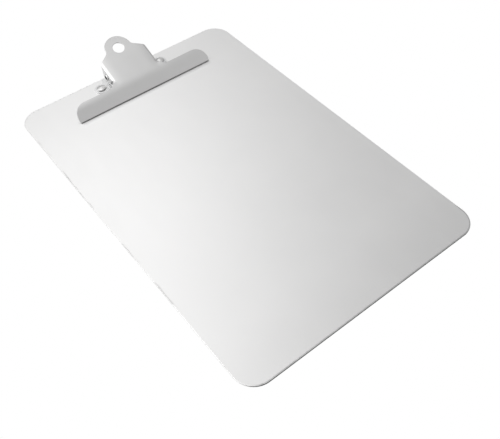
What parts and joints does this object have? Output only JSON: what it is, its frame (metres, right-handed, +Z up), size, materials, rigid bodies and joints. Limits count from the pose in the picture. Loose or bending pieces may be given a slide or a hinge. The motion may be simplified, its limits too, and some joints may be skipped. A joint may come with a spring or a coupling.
{
  "type": "clipboard",
  "caption": "Metal clipboard: flat board with rounded corners and a spring-closed lever clip whose squeezed handle lifts the wide jaw; the tab has a hanging hole.",
  "frame": {"origin": "centre of the board's flat underside", "axes": "+X to the right of a sheet held on the board, +Y towards the clip end, +Z up out of the face the paper lies on"},
  "size_m": [0.23, 0.3652, 0.03],
  "materials": {
    "board_aluminium": "satin rolled sheet with faint handling marks",
    "clip_steel": "satin nickel plate",
    "bright_steel": "bright nickel plate",
    "spring_steel": "drawn wire, bright plate"
  },
  "bodies": {
    "board_and_base": {"board": "board_aluminium", "clip_base": "clip_steel", "hinge_pin": "bright_steel", "spring_left": "spring_steel", "spring_right": "spring_steel", "rivet_left": "bright_steel", "rivet_right": "bright_steel"},
    "jaw": {"jaw_lever": "clip_steel"}
  },
  "joints": [
    {"name": "jaw_pivot", "type": "hinge", "parent": "board_and_base", "child": "jaw", "pos_m": [0, 0.162, 0.0111], "axis": [-1, 0, 0], "range_deg": [0, 30], "stiffness_Nm_per_rad": 1.5, "springref_deg": -28.65, "deforming": ["spring_left", "spring_right"]}
  ]
}
